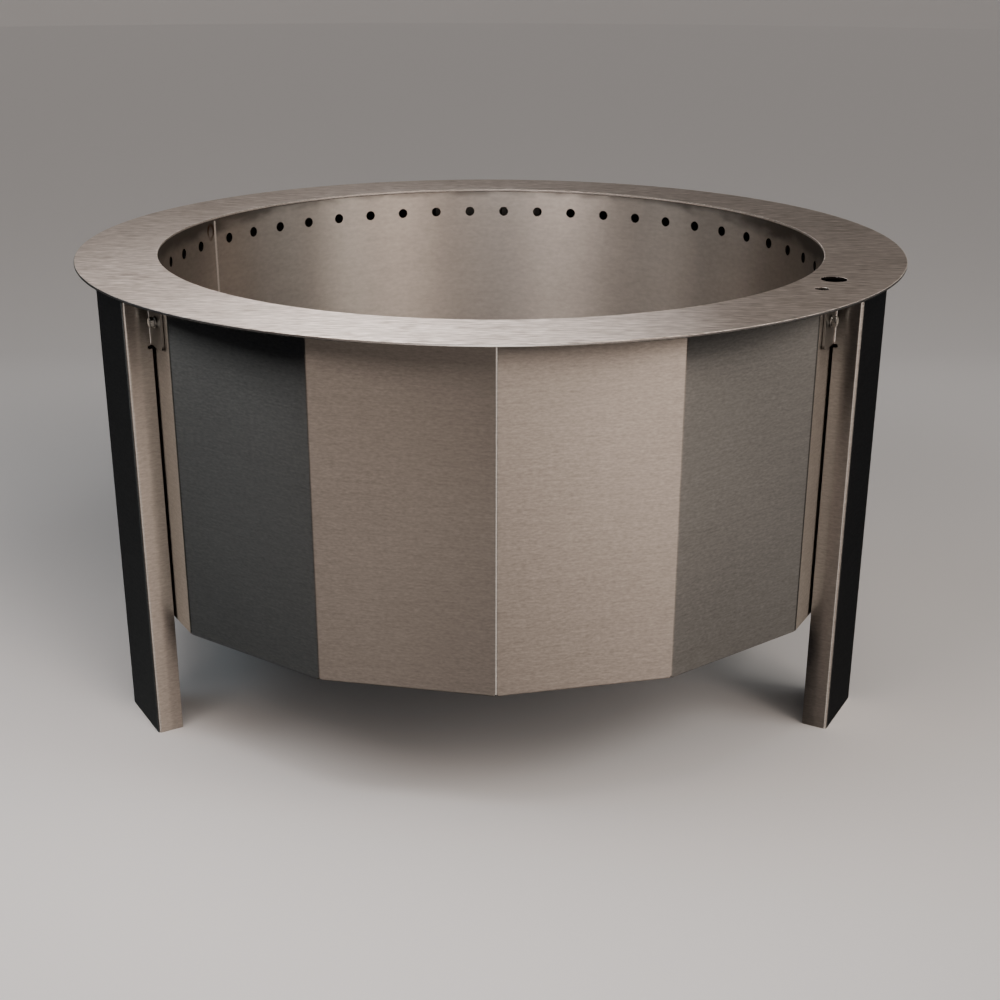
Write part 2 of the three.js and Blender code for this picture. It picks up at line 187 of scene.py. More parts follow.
def sheet(shape, outline, holes, surf, thick, cuts_u=(), cuts_v=(), edge=0.3, steps=2, mats=(0, 1), grain=None, pierced=None):
    """One piece of sheet metal. outline runs counter-clockwise and holes clockwise in the flat pattern; surf gives the point and normal of its outer face there, and
    the sheet is thick behind it. Every cut edge is rounded by edge. cuts_u and cuts_v are lines where the pattern is divided, so that it can bend. mats are the
    face, the cut edge and, where it differs, the back; pierced is the cut edge of the holes under 60 mm, and of those under 20 mm."""
    loops = [np.asarray(outline, float)] + [np.asarray(h, float) for h in holes]
    inset = []
    for loop in loops:
        m, _ = miters(loop)
        inset.append(loop - m * edge)
    pts, edges = [], []
    for loop in inset:
        n0 = len(pts)
        pts += [Vector(p) for p in loop]
        edges += [(n0 + i, n0 + (i + 1) % len(loop)) for i in range(len(loop))]
    low, high = inset[0].min(0) - 3, inset[0].max(0) + 3
    for u in cuts_u:
        pts += [Vector((u, low[1])), Vector((u, high[1]))]
        edges.append((len(pts) - 2, len(pts) - 1))
    for v in cuts_v:
        pts += [Vector((low[0], v)), Vector((high[0], v))]
        edges.append((len(pts) - 2, len(pts) - 1))
    got = delaunay_2d_cdt(pts, edges, [], 0, 1e-5)
    flat = np.array([tuple(p) for p in got[0]])
    tris = np.array([f for f in got[2] if len(f) == 3])
    a, b, c = flat[tris[:, 0]], flat[tris[:, 1]], flat[tris[:, 2]]
    area = (b - a)[:, 0] * (c - a)[:, 1] - (b - a)[:, 1] * (c - a)[:, 0]
    tris[area < 0] = tris[area < 0][:, ::-1]
    tris = tris[(np.abs(area) > 1e-7) & inside((a + b + c) / 3, inset)]
    used, back = np.unique(tris, return_inverse=True)
    flat, tris = flat[used], back.reshape(tris.shape)

    grain = grain or (lambda u, v: np.stack([u, v], -1))
    top, normal = surf(flat[:, 0], flat[:, 1])
    uv = grain(flat[:, 0], flat[:, 1])
    # which way round the pattern lies on its surface
    k = tris[np.argmax(np.abs(area[(np.abs(area) > 1e-7)][: len(tris)]))] if len(tris) else tris[0]
    flip = np.dot(np.cross(top[k[1]] - top[k[0]], top[k[2]] - top[k[0]]), normal[k[0]]) < 0
    turn = (lambda f: f[:, ::-1]) if flip else (lambda f: f)

    f = turn(tris)
    shape.add(top, f, normal[f], uv[f], mats[0])
    f = turn(tris)[:, ::-1]
    shape.add(top - thick * normal, f, -normal[f], uv[f], mats[-1] if len(mats) > 2 else mats[0])

    # boundary loops of what was kept, with material on the left
    sides = {}
    for t in tris:
        for i in range(3):
            sides[(int(t[i]), int(t[(i + 1) % 3]))] = True
    follow = {p: q for p, q in sides if (q, p) not in sides}
    while follow:
        start = next(iter(follow))
        ring = [start]
        while True:
            nxt = follow.pop(ring[-1])
            if nxt == start or nxt not in follow:
                break
            ring.append(nxt)
        if len(ring) < 3:
            continue
        loop = flat[ring]
        m, out = miters(loop)
        n = len(ring)
        before = np.roll(out, 1, 0)
        smooth = (out * before).sum(1) > math.cos(rad(32))
        profile = [(edge * math.sin(x), edge * (1 - math.cos(x)), edge * x, x) for x in np.linspace(0, math.pi / 2, steps + 1)]
        base = edge * math.pi / 2 + thick - 2 * edge
        profile += [(edge * math.cos(x), thick - edge + edge * math.sin(x), base + edge * x, math.pi / 2 + x)
                    for x in np.linspace(0, math.pi / 2, steps + 1)]
        rings, normals, uvs = [], [], []
        for d, w, s, angle in profile:
            q = loop + m * d
            p, nn = surf(q[:, 0], q[:, 1])
            rings.append(p - w * nn)
            eps = 0.02
            own, mixed = [], []
            for vec in (out, before, unit(out + before)):
                p2, _ = surf(q[:, 0] + vec[:, 0] * eps, q[:, 1] + vec[:, 1] * eps)
                own.append(unit(p2 - p))
            # at the corner's start of edge i, and at its end (the next point's side of edge i)
            start_out = np.where(smooth[:, None], own[2], own[0])
            end_out = np.where(smooth[:, None], own[2], own[1])
            ca, sa = math.cos(angle), math.sin(angle)
            normals.append((unit(nn * ca + start_out * sa), unit(nn * ca + end_out * sa)))
            uvs.append(grain(loop[:, 0] + m[:, 0] * s, loop[:, 1] + m[:, 1] * s))
        verts = np.concatenate(rings)
        nxt = (np.arange(n) + 1) % n
        for k in range(len(profile) - 1):
            i0, i1 = k * n + np.arange(n), k * n + nxt
            j0, j1 = i0 + n, i1 + n
            # the outer side is on the right of i -> i+1, so this order faces outwards
            quad = np.stack([i0, j0, j1, i1], 1)
            nrm = np.stack([normals[k][0], normals[k + 1][0], normals[k + 1][1][nxt], normals[k][1][nxt]], 1)
            tex = np.stack([uvs[k], uvs[k + 1], uvs[k + 1][nxt], uvs[k][nxt]], 1)
            if flip:
                quad, nrm, tex = quad[:, ::-1], nrm[:, ::-1], tex[:, ::-1]
            width = np.ptp(loop, 0).max()
            small = pierced is not None and width < 60
            mat = pierced[int(width < 20)] if small and (edge < 0.5 or k > 1) else mats[1] if k == steps else mats[0]
            shape.add(verts, quad, nrm, tex, mat)
    return shape


class Path:
    """A folded section: straight runs joined by round bends. side 1 has the outer face on the left of its direction and -1 on the right."""

    def __init__(self, pts, radii, side=1, start=0.0):
        pts = [np.array(p, float) for p in pts]
        self.side, self.parts, self.bends, self.runs = side, [], [], []
        s, here = start, pts[0]
        for i in range(1, len(pts)):
            d0 = unit(pts[i] - pts[i - 1])
            if i < len(pts) - 1:
                d1 = unit(pts[i + 1] - pts[i])
                turn = math.atan2(d0[0] * d1[1] - d0[1] * d1[0], float(d0 @ d1))
                r = radii[i - 1]
                t = r * math.tan(abs(turn) / 2)
            else:
                turn = t = 0
            stop = pts[i] - d0 * t
            length = float(np.linalg.norm(stop - here))
            self.parts.append(("line", s, s + length, here, d0, 0, 0))
            self.runs.append((s, s + length, here, d0))
            s += length
            if turn:
                self.parts.append(("arc", s, s + r * abs(turn), stop, d0, turn, r))
                self.bends.append((s, s + r * abs(turn)))
                s += r * abs(turn)
                here = pts[i] + d1 * t
        self.length = s - start
        self.first, self.last = start, s

    def __call__(self, s):
        s = np.asarray(s, float)
        p, n = np.zeros(s.shape + (2,)), np.zeros(s.shape + (2,))
        for k, (kind, s0, s1, at, d, turn, r) in enumerate(self.parts):
            here = (s >= s0 if k else np.ones(s.shape, bool)) & (s < s1 if k < len(self.parts) - 1 else np.ones(s.shape, bool))
            left = np.array([-d[1], d[0]])
            if kind == "line":
                p[here] = at + (s[here] - s0)[:, None] * d
                n[here] = left
            else:
                a = (s[here] - s0) / (s1 - s0) * turn
                sign = 1 if turn > 0 else -1
                rot = np.stack([left[0] * np.cos(a) - left[1] * np.sin(a), left[0] * np.sin(a) + left[1] * np.cos(a)], 1)
                p[here] = at + sign * r * left - sign * r * rot
                n[here] = rot
        return p, n * self.side

    def cuts(self, n):
        return [s for s0, s1 in self.bends for s in np.linspace(s0, s1, n + 1)]


def axes(az):
    a = rad(az)
    return np.array([math.sin(a), -math.cos(a), 0]), np.array([math.cos(a), math.sin(a), 0]), np.array([0, 0, 1.0])


def in_plan(path, az):
    """Surface of a section in the facet's (t, n) plane, with the pattern's v upwards."""
    n, t, z = axes(az)

    def surf(u, v):
        p, q = path(u)
        return p[:, :1] * t + p[:, 1:] * n + v[:, None] * z, q[:, :1] * t + q[:, 1:] * n
    return surf


def in_side(path, az):
    """Surface of a section in the facet's (n, z) plane, with the pattern's v along the facet."""
    n, t, z = axes(az)

    def surf(u, v):
        p, q = path(u)
        return p[:, :1] * n + p[:, 1:] * z + v[:, None] * t, q[:, :1] * n + q[:, 1:] * z
    return surf


def by_angle(verts, faces, limit=30):
    """Corner normals of a mesh, smooth where faces meet at less than limit degrees."""
    fn = []
    for f in faces:
        p = verts[list(f)]
        c = np.zeros(3)
        for i in range(1, len(f) - 1):
            c += np.cross(p[i] - p[0], p[i + 1] - p[0])
        fn.append(c)
    fn = np.array(fn)
    un = unit(fn)
    around = {}
    for k, f in enumerate(faces):
        for i in f:
            around.setdefault(int(i), []).append(k)
    cos = math.cos(rad(limit))
    out = []
    for k, f in enumerate(faces):
        row = []
        for i in f:
            near = [j for j in around[int(i)] if un[j] @ un[k] > cos]
            row.append(unit(fn[near].sum(0)))
        out.append(np.array(row))
    return out


def solid(shape, verts, faces, mat=0, limit=30, grain=None):
    """Adds a closed mesh with smooth corner normals and box-projected grain coordinates."""
    verts = np.asarray(verts, float)
    normals = by_angle(verts, faces, limit)
    uvs = []
    for f, n in zip(faces, normals):
        p = verts[list(f)]
        if grain is not None:
            uvs.append(np.array([grain(q) for q in p]))
            continue
        m = np.abs(n.mean(0))
        k = int(np.argmax(m))
        uvs.append(p[:, [1, 2]] if k == 0 else p[:, [0, 2]] if k == 1 else p[:, [0, 1]])
    shape.add(verts, faces, normals, uvs, mat)


def rings_to_faces(n, m, closed=True):
    """Faces between m rings of n points."""
    faces = []
    for k in range(m - 1):
        for i in range(n if closed else n - 1):
            j = (i + 1) % n
            faces.append((k * n + i, k * n + j, (k + 1) * n + j, (k + 1) * n + i))
    return faces


def place(local, origin, ex, ey, ez):
    local = np.asarray(local, float)
    return np.asarray(origin, float) + local[:, :1] * ex + local[:, 1:2] * ey + local[:, 2:3] * ez


def lathe(shape, profile, n, origin, ex, ey, ez, mat=0, limit=30):
    """A closed body turned about ez. The profile's first and last points are on the axis, and it runs from low to high on the outside."""
    a = np.arange(n) * 2 * math.pi / n
    verts = [(0, 0, profile[0][1])]
    for r, z in profile[1:-1]:
        verts += [(r * math.cos(x), r * math.sin(x), z) for x in a]
    verts.append((0, 0, profile[-1][1]))
    m = len(profile) - 2
    faces = [(0, 1 + (i + 1) % n, 1 + i) for i in range(n)]
    faces += [tuple(x + 1 for x in f) for f in rings_to_faces(n, m)]
    last = len(verts) - 1
    faces += [(last, 1 + (m - 1) * n + i, 1 + (m - 1) * n + (i + 1) % n) for i in range(n)]
    solid(shape, place(verts, origin, ex, ey, ez), faces, mat, limit)


def ring_body(shape, profile, n, origin, ex, ey, ez, mat=0, limit=30):
    """A closed ring turned about ez from a closed profile, given counter-clockwise in (r, z)."""
    a = np.arange(n) * 2 * math.pi / n
    verts = []
    for r, z in profile:
        verts += [(r * math.cos(x), r * math.sin(x), z) for x in a]
    m = len(profile)
    faces = []
    for k in range(m):
        q = (k + 1) % m
        for i in range(n):
            j = (i + 1) % n
            faces.append((k * n + i, k * n + j, q * n + j, q * n + i))
    solid(shape, place(verts, origin, ex, ey, ez), faces, mat, limit)


def thread(shape, r, z0, z1, pitch, origin, ex, ey, ez, mat=0, n=24, per=5, cone=1.0):
    """A threaded rod from z0 to z1 with a chamfered far end at z0."""
    depth = 0.54 * pitch
    m = max(4, int((z1 - z0) / pitch * per))
    a = np.arange(n) * 2 * math.pi / n
    verts, zs = [], np.linspace(z0, z1, m + 1)
    for z in zs:
        for x in a:
            f = ((z - z0) / pitch - x / (2 * math.pi)) % 1.0
            wave = 1 - abs(2 * f - 1)
            rr = r - depth * (1 - min(1, wave * 1.25))
            rr = min(rr, r - cone + (z - z0) * 1.2)
            verts.append((rr * math.cos(x), rr * math.sin(x), z))
    faces = rings_to_faces(n, m + 1)
    verts += [(0, 0, z0), (0, 0, z1)]
    b, t = len(verts) - 2, len(verts) - 1
    faces += [(b, (i + 1) % n, i) for i in range(n)]
    faces += [(t, m * n + i, m * n + (i + 1) % n) for i in range(n)]
    solid(shape, place(verts, origin, ex, ey, ez), faces, mat, 50)


def hexagon_radius(a, flats):
    a = (a + math.pi / 6) % (math.pi / 3) - math.pi / 6
    return flats / 2 / math.cos(a)


def hex_head(shape, flats, height, origin, ex, ey, ez, mat=0, dish=0.25):
    """A hexagon head standing on its origin, with the turned chamfer of a forged head and a slightly dished top."""
    n, r0 = 72, flats / 2 * 0.94
    a = np.arange(n) * 2 * math.pi / n
    verts = [(0, 0, 0)]
    hexr = [hexagon_radius(x, flats) for x in a]
    for x, h in zip(a, hexr):
        verts.append(((h - 0.15) * math.cos(x), (h - 0.15) * math.sin(x), 0))
    for x, h in zip(a, hexr):
        verts.append((h * math.cos(x), h * math.sin(x), 0.15))
    for x, h in zip(a, hexr):
        verts.append((h * math.cos(x), h * math.sin(x), height - (h - r0) * math.tan(rad(30))))
    for x in a:
        verts.append((r0 * math.cos(x), r0 * math.sin(x), height))
    for x in a:
        verts.append(((r0 - 0.5) * math.cos(x), (r0 - 0.5) * math.sin(x), height - 0.02))
    for x in a:
        verts.append((r0 * 0.55 * math.cos(x), r0 * 0.55 * math.sin(x), height - dish))
    verts.append((0, 0, height - dish))
    faces = [(0, 1 + (i + 1) % n, 1 + i) for i in range(n)]
    faces += [tuple(x + 1 for x in f) for f in rings_to_faces(n, 6)]
    last = len(verts) - 1
    faces += [(last, 1 + 5 * n + i, 1 + 5 * n + (i + 1) % n) for i in range(n)]
    solid(shape, place(verts, origin, ex, ey, ez), faces, mat, 24)


def hex_nut(shape, flats, height, bore, origin, ex, ey, ez, mat=0):
    """A hexagon nut with both faces chamfered and a chamfered bore."""
    n, r0 = 72, flats / 2 * 0.95
    a = np.arange(n) * 2 * math.pi / n
    hexr = [hexagon_radius(x, flats) for x in a]
    rows = []
    rows.append([(bore, bore, 0.5)] * n)
    rows.append([(bore + 0.5, bore + 0.5, 0.0)] * n)
    rows.append([(r0, r0, 0.0)] * n)
    rows.append([(h, h, (h - r0) * math.tan(rad(30))) for h in hexr])
    rows.append([(h, h, height - (h - r0) * math.tan(rad(30))) for h in hexr])
    rows.append([(r0, r0, height)] * n)
    rows.append([(bore + 0.5, bore + 0.5, height)] * n)
    rows.append([(bore, bore, height - 0.5)] * n)
    verts = [(p[0] * math.cos(x), p[1] * math.sin(x), p[2]) for row in rows for p, x in zip(row, a)]
    m, faces = len(rows), []
    for k in range(m):
        q = (k + 1) % m
        for i in range(n):
            j = (i + 1) % n
            faces.append((k * n + i, k * n + j, q * n + j, q * n + i))
    solid(shape, place(verts, origin, ex, ey, ez), faces, mat, 24)


def bead(shape, line, across, up, width, height, pitch, mat=0, seed=0):
    """A weld bead along a line of points: a low crown with fine ripples."""
    line = np.asarray(line, float)
    k = 8
    rows = []
    rng = np.random.RandomState(seed)
    drift = np.cumsum(rng.normal(0, 0.02, len(line)))
    drift -= np.linspace(drift[0], drift[-1], len(line))
    for i, p in enumerate(line):
        f = (i % 4) / 4
        h = height * (0.82 + 0.18 * math.cos(2 * math.pi * f)) * (0.95 + 0.1 * rng.rand())
        w = width * (0.96 + 0.04 * math.cos(2 * math.pi * f) + 0.03 * rng.normal())
        ends = min(i, len(line) - 1 - i) / 3
        h *= min(1, 0.25 + ends)
        for j in range(k + 1):
            a = math.pi * j / k
            rows.append(p + across * (-math.cos(a) * w / 2 + drift[i]) + up * (math.sin(a) * h - 0.12))
    n = k + 1
    faces = []
    for i in range(len(line) - 1):
        for j in range(k):
            faces.append((i * n + j, (i + 1) * n + j, (i + 1) * n + j + 1, i * n + j + 1))
        faces.append((i * n + k, (i + 1) * n + k, (i + 1) * n, i * n))
    faces.append(tuple(range(n)))
    faces.append(tuple((len(line) - 1) * n + j for j in range(n - 1, -1, -1)))
    rows = np.array(rows)
    f = faces[0]
    if np.dot(np.cross(rows[f[1]] - rows[f[0]], rows[f[2]] - rows[f[0]]), -across) < 0:
        faces = [g[::-1] for g in faces]
    solid(shape, rows, faces, mat, 60)


# ---------------------------------------------------------------------------
# Materials
# ---------------------------------------------------------------------------
def nodes_of(name):
    mat = bpy.data.materials.new(name)
    mat.use_nodes = True
    nt = mat.node_tree
    nt.nodes.clear()
    out = nt.nodes.new("ShaderNodeOutputMaterial")
    bsdf = nt.nodes.new("ShaderNodeBsdfPrincipled")
    nt.links.new(bsdf.outputs[0], out.inputs["Surface"])
    return mat, nt, bsdf


def link(nt, a, b):
    nt.links.new(a, b)


def math_node(nt, op, a, b=None, c=None, clamp=False):
    n = nt.nodes.new("ShaderNodeMath")
    n.operation = op
    n.use_clamp = clamp
    for i, x in enumerate((a, b, c)):
        if x is None:
            continue
        if isinstance(x, (int, float)):
            n.inputs[i].default_value = x
        else:
            link(nt, x, n.inputs[i])
    return n.outputs[0]


def scaled(nt, source, scale, offset=(0, 0, 0)):
    n = nt.nodes.new("ShaderNodeMapping")
    n.inputs["Scale"].default_value = scale
    n.inputs["Location"].default_value = offset
    link(nt, source, n.inputs["Vector"])
    return n.outputs["Vector"]


def noise(nt, vector, detail=2.0, rough=0.5, distortion=0.0, scale=1.0):
    n = nt.nodes.new("ShaderNodeTexNoise")
    n.inputs["Scale"].default_value = scale
    n.inputs["Detail"].default_value = detail
    n.inputs["Roughness"].default_value = rough
    n.inputs["Distortion"].default_value = distortion
    link(nt, vector, n.inputs["Vector"])
    return n.outputs["Fac"]


def spread(nt, value, low, high, to_low=0.0, to_high=1.0):
    n = nt.nodes.new("ShaderNodeMapRange")
    n.clamp = True
    n.inputs["From Min"].default_value = low
    n.inputs["From Max"].default_value = high
    n.inputs["To Min"].default_value = to_low
    n.inputs["To Max"].default_value = to_high
    link(nt, value, n.inputs["Value"])
    return n.outputs["Result"]


def mixed(nt, fac, a, b, kind="MIX"):
    n = nt.nodes.new("ShaderNodeMix")
    n.data_type = "RGBA"
    n.blend_type = kind
    n.clamp_factor = True
    if isinstance(fac, (int, float)):
        n.inputs[0].default_value = fac
    else:
        link(nt, fac, n.inputs[0])
    for sock, x in ((n.inputs[6], a), (n.inputs[7], b)):
        if isinstance(x, tuple):
            sock.default_value = (*x, 1.0)
        else:
            link(nt, x, sock)
    return n.outputs[2]


def brushed(name, light, dark, rough=0.35, aniso=1.0, fine=(200, 540), streak=(60, 330), band=(9, 120), weights=(0.62, 0.34, 0.12), patchy=0.12, bump=0.16, sheen=0.06,
            stains_and_painted_light=None):
    """Stainless sheet with a linear grain along the grain map's U: short fine scratches, longer streaks, faint wide bands and slow patches of tone."""
    mat, nt, bsdf = nodes_of(name)
    uv = nt.nodes.new("ShaderNodeUVMap")
    uv.uv_map = "grain"
    src = uv.outputs["UV"]
    layers = []
    for k, (size, offset, detail) in enumerate(((fine, (0, 0, 0), 2), (streak, (3.1, 7.7, 0), 2), (band, (1.7, 0.4, 0), 1))):
        n = noise(nt, scaled(nt, src, (size[0], size[1], 1), offset), detail, 0.6)
        layers.append(spread(nt, n, 0.26, 0.74))
    patch = spread(nt, noise(nt, scaled(nt, src, (4.2, 5.5, 1), (0.3, 2.9, 0)), 2, 0.5, 0.4), 0.3, 0.7)
    tone = math_node(nt, "MULTIPLY_ADD", patch, patchy, 0.5 - 0.5 * (sum(weights) + patchy))
    for layer, w in zip(layers, weights):
        tone = math_node(nt, "MULTIPLY_ADD", layer, w, tone)
    colour = mixed(nt, tone, dark, light)
    # the hook lays stains, painted shade and painted highlights over the grain colour
    if stains_and_painted_light is not None:
        colour = stains_and_painted_light(nt, src, colour)
    link(nt, colour, bsdf.inputs["Base Color"])
    r = math_node(nt, "MULTIPLY_ADD", layers[0], sheen * 0.6, rough - sheen * 0.55)
    r = math_node(nt, "MULTIPLY_ADD", layers[1], sheen * 0.3, r)
    r = math_node(nt, "MULTIPLY_ADD", patch, sheen * 0.2, r, clamp=True)
    link(nt, r, bsdf.inputs["Roughness"])
    b = nt.nodes.new("ShaderNodeBump")
    b.inputs["Strength"].default_value = bump
    b.inputs["Distance"].default_value = 0.0002
    link(nt, math_node(nt, "MULTIPLY_ADD", layers[1], 0.6, layers[0]), b.inputs["Height"])
    link(nt, b.outputs["Normal"], bsdf.inputs["Normal"])
    tan = nt.nodes.new("ShaderNodeTangent")
    tan.direction_type = "UV_MAP"
    tan.uv_map = "grain"
    link(nt, tan.outputs["Tangent"], bsdf.inputs["Tangent"])
    bsdf.inputs["Metallic"].default_value = 1.0
    bsdf.inputs["Anisotropic"].default_value = aniso
    bsdf.inputs["Anisotropic Rotation"].default_value = 0.25
    return mat


def ring_mark(u, v, radius, wide, slim, colour, strength):
    """A faint ring left on the surface at a point of the grain map, slim times as high as it is wide."""
    def add(nt, src, under):
        n = nt.nodes.new("ShaderNodeVectorMath")
        n.operation = "DISTANCE"
        link(nt, scaled(nt, src, (slim, 1, 0)), n.inputs[0])
        n.inputs[1].default_value = (u * 0.001 * slim, v * 0.001, 0)
        off = math_node(nt, "ABSOLUTE", math_node(nt, "SUBTRACT", n.outputs["Value"], radius * 0.001))
        ring = spread(nt, off, wide * 0.0005, wide * 0.0012, strength, 0.0)
        uneven = spread(nt, noise(nt, scaled(nt, src, (90, 90, 1)), 2, 0.5), 0.35, 0.6, 0.35, 1.0)
        return mixed(nt, math_node(nt, "MULTIPLY", ring, uneven), under, colour)
    return add


def smooth_step(nt, value, low, high):
    t = spread(nt, value, low, high)
    return math_node(nt, "MULTIPLY", math_node(nt, "MULTIPLY", t, t), math_node(nt, "MULTIPLY_ADD", t, -2.0, 3.0))


def split(nt, src):
    n = nt.nodes.new("ShaderNodeSeparateXYZ")
    link(nt, src, n.inputs[0])
    return n.outputs["X"], n.outputs["Y"]


def chamber_ring_and_painted_shade(nt, src, under):
    """The ring beside the seam, and a painted shade band along the chamber's top edge under the rim, deepest at the
    sides.
    """
    u, v = split(nt, src)
    # painted shade under the rim: a dark band down from the top edge, deeper towards the sides
    angle = math_node(nt, "ABSOLUTE", math_node(nt, "WRAP", math_node(nt, "DIVIDE", u, DRUM_R * 0.001), math.pi, -math.pi))
    depth = math_node(nt, "MULTIPLY_ADD", smooth_step(nt, angle, rad(28), rad(80)), 0.014, 0.0045)
    shade_edge_noise = spread(nt, noise(nt, scaled(nt, src, (22, 45, 1), (5.2, 1.1, 0)), 2, 0.45, 0.3), 0.3, 0.7, -0.005, 0.005)
    start = math_node(nt, "SUBTRACT", 0.4955, math_node(nt, "ADD", depth, shade_edge_noise))
    band = smooth_step(nt, math_node(nt, "SUBTRACT", v, start), -0.006, 0.010)
    under = mixed(nt, math_node(nt, "MULTIPLY", band, 0.72), under, (0.075, 0.07, 0.066))
    return ring_mark(293.0 * 6.6602, 481.3, 9.0, 2.8, 1.5, (0.10, 0.052, 0.032), 1.0)(nt, src, under)


def leg_painted_shade_and_highlight(nt, src, under):
    """Painted shade along the inner side of a leg's flanges, deepest up at the ears, and a painted highlight along the
    ears' own bends.
    """
    u, v = split(nt, src)
    inner = smooth_step(nt, math_node(nt, "ABSOLUTE", u), 0.055, 0.060)
    high = math_node(nt, "MULTIPLY_ADD", smooth_step(nt, v, 0.395, 0.480), 0.46, 0.18)
    # painted shade: darker along the flanges' inner side, most of all up at the ears
    under = mixed(nt, math_node(nt, "MULTIPLY", inner, high), under, (0.05, 0.048, 0.046))
    # painted highlight along the ears' bends
    off = math_node(nt, "ABSOLUTE", math_node(nt, "SUBTRACT", math_node(nt, "ABSOLUTE", u), 0.0699))
    painted_bend_highlight = math_node(nt, "SUBTRACT", 0.8, math_node(nt, "MULTIPLY", smooth_step(nt, off, 0.0008, 0.0016), 0.8))
    painted_bend_highlight = math_node(nt, "MULTIPLY", painted_bend_highlight, smooth_step(nt, v, 0.441, 0.444))
    return mixed(nt, painted_bend_highlight, under, (0.95, 0.92, 0.88))


def panel_painted_bend_shade(nt, src, under):
    """Painted shade: the first and the last bend of a panel are darker than its facets."""
    u, v = split(nt, src)
    # painted shade over the first and the last bend
    for at in (0.0896, 0.8121):
        off = math_node(nt, "ABSOLUTE", math_node(nt, "SUBTRACT", u, at))
        under = mixed(nt, math_node(nt, "SUBTRACT", 0.75, math_node(nt, "MULTIPLY", smooth_step(nt, off, 0.0009, 0.0021), 0.75)), under, (0.07, 0.067, 0.064))
    return under


def cut_edge(name, light, dark, rough=0.36):
    """Cut sheet edge: short striations across the thickness."""
    mat, nt, bsdf = nodes_of(name)
    tc = nt.nodes.new("ShaderNodeTexCoord")
    src = tc.outputs["Object"]
    a = noise(nt, scaled(nt, src, (900, 900, 60)), 2, 0.6)
    b = noise(nt, scaled(nt, src, (40, 40, 25)), 3, 0.5)
    t = math_node(nt, "MULTIPLY_ADD", spread(nt, a, 0.3, 0.7), 0.6, math_node(nt, "MULTIPLY", spread(nt, b, 0.3, 0.7), 0.4))
    link(nt, mixed(nt, t, dark, light), bsdf.inputs["Base Color"])
    link(nt, spread(nt, t, 0, 1, rough - 0.07, rough + 0.09), bsdf.inputs["Roughness"])
    bump = nt.nodes.new("ShaderNodeBump")
    bump.inputs["Strength"].default_value = 0.15
    bump.inputs["Distance"].default_value = 0.0002
    link(nt, a, bump.inputs["Height"])
    link(nt, bump.outputs["Normal"], bsdf.inputs["Normal"])
    bsdf.inputs["Metallic"].default_value = 1.0
    return mat


def cast(name, light, dark, rough=0.35, scale=220, metallic=1.0, bump=0.1, spots=0.0, spot_colour=(0.1, 0.09, 0.08)):
    """Small parts and plain plate: mottled tone, uneven sheen and a fine surface."""
    mat, nt, bsdf = nodes_of(name)
    tc = nt.nodes.new("ShaderNodeTexCoord")
    src = tc.outputs["Object"]
    a = noise(nt, src, 4, 0.6, 0.3, scale)
    b = noise(nt, src, 3, 0.55, 0.6, scale * 0.09)
    c = noise(nt, src, 2, 0.5, 0.0, scale * 6)
    t = math_node(nt, "MULTIPLY_ADD", spread(nt, a, 0.3, 0.7), 0.45, math_node(nt, "MULTIPLY", spread(nt, b, 0.32, 0.68), 0.55))
    colour = mixed(nt, t, dark, light)
    if spots:
        colour = mixed(nt, math_node(nt, "MULTIPLY", spread(nt, b, 0.55, 0.68), spots), colour, spot_colour)
    link(nt, colour, bsdf.inputs["Base Color"])
    link(nt, spread(nt, t, 0, 1, rough + 0.08, rough - 0.08), bsdf.inputs["Roughness"])
    n = nt.nodes.new("ShaderNodeBump")
    n.inputs["Strength"].default_value = bump
    n.inputs["Distance"].default_value = 0.0003
    link(nt, math_node(nt, "MULTIPLY_ADD", c, 0.4, a), n.inputs["Height"])
    link(nt, n.outputs["Normal"], bsdf.inputs["Normal"])
    bsdf.inputs["Metallic"].default_value = metallic
    return mat


# the panels' steel carries painted shade on its first and last bend
STEEL = brushed("brushed_stainless", (0.655, 0.61, 0.565), (0.405, 0.372, 0.34), stains_and_painted_light=panel_painted_bend_shade)
# the legs' steel carries painted shade on the flanges and ears and a painted highlight on the ear bends
LEG_STEEL = brushed("brushed_leg", (0.655, 0.61, 0.565), (0.405, 0.372, 0.34), stains_and_painted_light=leg_painted_shade_and_highlight)
RIM_STEEL = brushed("brushed_rim", (0.76, 0.71, 0.67), (0.30, 0.272, 0.246), rough=0.40, aniso=0.90, fine=(58, 470), streak=(18, 240), band=(6, 70),
                    weights=(1.3, 0.6, 0.24), bump=0.012, sheen=0.02)
# the chamber's steel carries the seam ring and a painted shade band under the rim
ROLLED = brushed("rolled_stainless", (0.585, 0.548, 0.510), (0.465, 0.436, 0.406), rough=0.36, aniso=0.90, fine=(120, 220), streak=(40, 110), band=(9, 30), weights=(0.75, 0.45, 0.2),
                 patchy=0.3, bump=0.02, sheen=0.03, stains_and_painted_light=chamber_ring_and_painted_shade)
HIDDEN = brushed("mill_stainless", (0.40, 0.38, 0.355), (0.31, 0.295, 0.275), rough=0.42, aniso=0.3, fine=(80, 300), streak=(30, 120), band=(8, 60), patchy=0.3, bump=0.08)
# painted shade: a darkened copy of the brushed steel for the panels' back faces
PAINTED_SHADE_INNER = brushed("inner_face_painted_shade", (0.10, 0.095, 0.088), (0.06, 0.057, 0.053), rough=0.46, aniso=0.3, fine=(80, 300), streak=(30, 120), band=(8, 60), patchy=0.3, bump=0.08)
EDGE = cut_edge("cut_edge", (0.70, 0.655, 0.61), (0.50, 0.465, 0.43))
# painted highlight: a brighter copy of the cut-edge steel for the rim's edges
PAINTED_HIGHLIGHT_RIM_EDGE = cut_edge("rim_edge_painted_highlight", (0.95, 0.92, 0.88), (0.80, 0.765, 0.73), rough=0.34)
